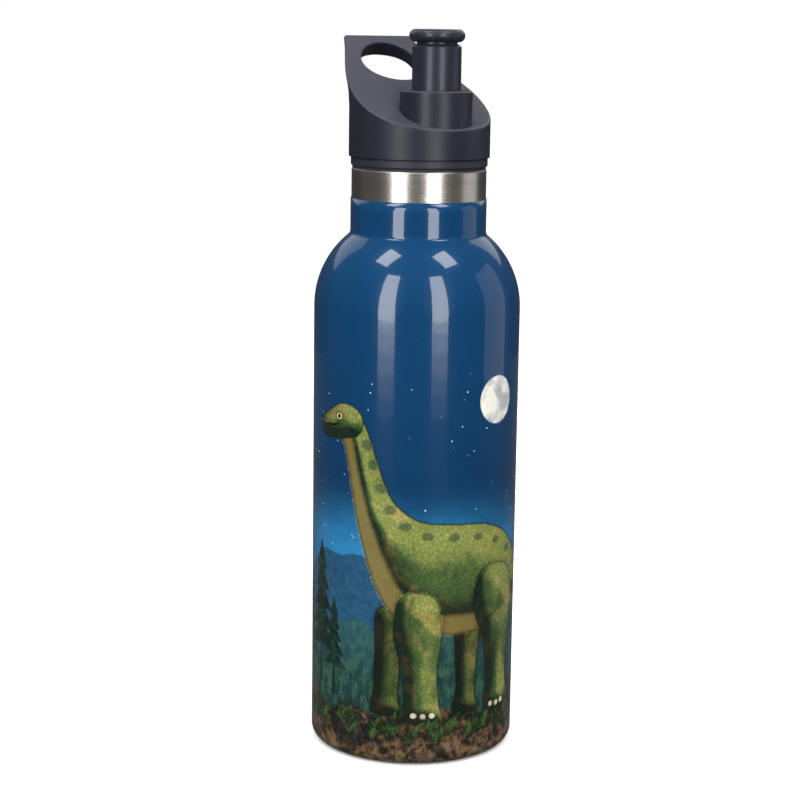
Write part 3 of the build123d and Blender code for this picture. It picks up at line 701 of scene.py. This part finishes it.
def paint_animal(g, colour, light, wide, fine, rough_edge):
    scale = g.ramp(g.cells(700.0, "DISTANCE_TO_EDGE"), 0.0, 0.25, 1.0, 0.0)
    shade = g.math("MULTIPLY_ADD", g.math("SUBTRACT", fine, 0.5), 0.4, light)
    hide = skin(g, shade, wide, scale)
    pale = g.mix(g.ramp(wide, 0.36, 0.62), (0.46, 0.34, 0.10), (0.56, 0.47, 0.17))
    pale = g.mix(g.ramp(shade, 0.62, 0.2, 0.0, 0.8), pale, (0.07, 0.055, 0.016))
    pale = g.mix(g.math("MULTIPLY", scale, 0.25), pale, (0.14, 0.09, 0.02))
    spot = g.mix(0.6, hide, (0.006, 0.030, 0.022))
    ivory = g.mix(g.ramp(fine, 0.3, 0.7), (0.50, 0.42, 0.26), (0.80, 0.72, 0.54))
    colour = lay(g, colour, g.mix(0.55, hide, INK), "far_legs", 0.4, 0.7)
    colour = lay(g, colour, hide, "body", 0.0, 0.7)
    colour = lay(g, colour, pale, "belly", soft=1.2, ragged=g.math("MULTIPLY", rough_edge, 0.6))
    colour = lay(g, colour, spot, "spots", soft=0.5)
    colour = lay(g, colour, hide, "head", 0.0, 0.6)
    colour = lay(g, colour, INK, "smile", soft=0.2)
    colour = lay(g, colour, (0.75, 0.60, 0.25), "eye", 0.3, 0.8, line=0.4)
    colour = lay(g, colour, INK, "pupil", soft=0.2)
    colour = lay(g, colour, INK, "nostril", soft=0.2)
    for name in ("front_leg", "hind_leg"):
        colour = lay(g, colour, hide, name, 0.3, 0.45)
    return lay(g, colour, ivory, "nails", 0.3, 0.5, line=0.35)


def lacquer(g, colour, height, fine, tiny):
    """A smooth clear coat with faint orange peel, fine handling haze and a rubbed foot."""
    peel = g.noise(420.0, None, 2.0)
    haze = g.ramp(g.noise(90.0, g.coords((1.0, 1.0, 0.5)), 5.0, 0.7), 0.55, 0.8, 0.0, 0.05)
    rubbed = g.math("MULTIPLY", g.ramp(height, 16.0, 0.5, 0.0, 0.2), g.ramp(fine, 0.45, 0.7))
    g.set(base_color=g.mix(rubbed, colour, (0.16, 0.17, 0.19)))
    g.set(roughness=g.math("ADD", g.math("ADD", haze, rubbed), 0.24))
    g.set(coat_weight=0.9, coat_roughness=0.035, specular_ior_level=0.12)
    g.set(normal=g.bump(tiny, 0.000004), coat_normal=g.bump(peel, 0.000006))


def print_material():
    """The whole picture, painted from the back to the front, under its lacquer."""
    g = Graph("printed_paint")
    light = g.attribute("light")
    wide = g.noise(45.0, None, 4.0, 0.6, 0.6)
    fine = g.noise(260.0, None, 5.0, 0.65, 1.0)
    tiny = g.noise(1100.0, None, 3.0, 0.6)
    rough_edge = g.math("MULTIPLY", g.math("SUBTRACT", fine, 0.5), 2.2)
    place = g.tree.nodes.new("ShaderNodeSeparateXYZ")
    g.tree.links.new(g.coords((1000.0, 1000.0, 1000.0)), place.inputs[0])
    height = place.outputs["Z"]
    crag = rocky(g, fine)
    colour = paint_sky(g, height, wide)
    colour = paint_distance(g, colour, fine, crag, rough_edge)
    colour = paint_ground(g, colour, light, crag, rough_edge)
    colour = paint_animal(g, colour, light, wide, fine, rough_edge)
    frond = g.mix(g.ramp(fine, 0.4, 0.65), (0.008, 0.022, 0.008), (0.050, 0.095, 0.022))
    colour = lay(g, colour, frond, "ferns", 0.35, 0.5, soft=0.16, line=0.4)
    colour = g.mix(g.ramp(tiny, 0.35, 0.7, 0.0, 0.12), colour, (0.0, 0.0, 0.0))
    lacquer(g, colour, height, fine, tiny)
    return g.material


def dress(names, material):
    for name in names:
        slots = nodes[name].data.materials
        slots.clear()
        slots.append(material)


add_camera()
add_studio()

bpy.context.scene.view_settings.view_transform = "Standard"

dress(["outer_shell"], metal("brushed_steel", (0.68, 0.63, 0.57), 0.25, (0.05, 0.05, 4.0), 0.0000012, 0.03))
dress(["inner_vessel", "inner_base", "outer_base"],
      metal("plain_steel", (0.60, 0.58, 0.56), 0.34, (1.0, 1.0, 1.0), 0.00001))
dress(["reflective_foil"], metal("foil", (0.86, 0.87, 0.88), 0.2, (1.0, 1.0, 1.0), 0.00004))
dress(["vacuum_seal"], metal("solder", (0.55, 0.55, 0.56), 0.45, (1.0, 1.0, 1.0), 0.00005))
dress(["getter"], metal("getter_metal", (0.35, 0.34, 0.33), 0.6, (1.0, 1.0, 1.0), 0.00005))
dress(["cap_shell", "spout_collar"],
      moulded("lid_plastic", (0.008, 0.009, 0.017), (0.013, 0.014, 0.025), 0.40, 2600.0, 0.00002, 0.0, 0.3))
dress(["cap_insert", "valve_post"],
      moulded("insert_plastic", (0.014, 0.015, 0.024), (0.02, 0.022, 0.034), 0.46, 2400.0, 0.00002))
dress(["nozzle_sleeve"],
      moulded("spout_plastic", (0.010, 0.011, 0.021), (0.015, 0.017, 0.030), 0.36, 2600.0, 0.00001, 0.08))
dress(["mouthpiece"],
      moulded("soft_lip", (0.010, 0.012, 0.022), (0.015, 0.017, 0.030), 0.34, 2000.0, 0.00001, 0.1, 0.15))
dress(["cap_gasket"],
      moulded("seal_rubber", (0.020, 0.022, 0.030), (0.028, 0.030, 0.040), 0.5, 1500.0, 0.00002))
dress(["collar_o_ring", "nozzle_o_ring", "vent_valve"],
      moulded("silicone", (0.30, 0.31, 0.32), (0.36, 0.37, 0.38), 0.5, 1500.0, 0.00002))
coat = build_coat()
coat.data.materials.append(print_material())
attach(coat, "bottle")
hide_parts("body_coat")

bpy.ops.mesh.primitive_plane_add(size=12.0)
floor = bpy.context.object
floor.name = "studio_floor"
floor.data.materials.append(floor_material())
floor.visible_glossy = False
floor.visible_diffuse = False
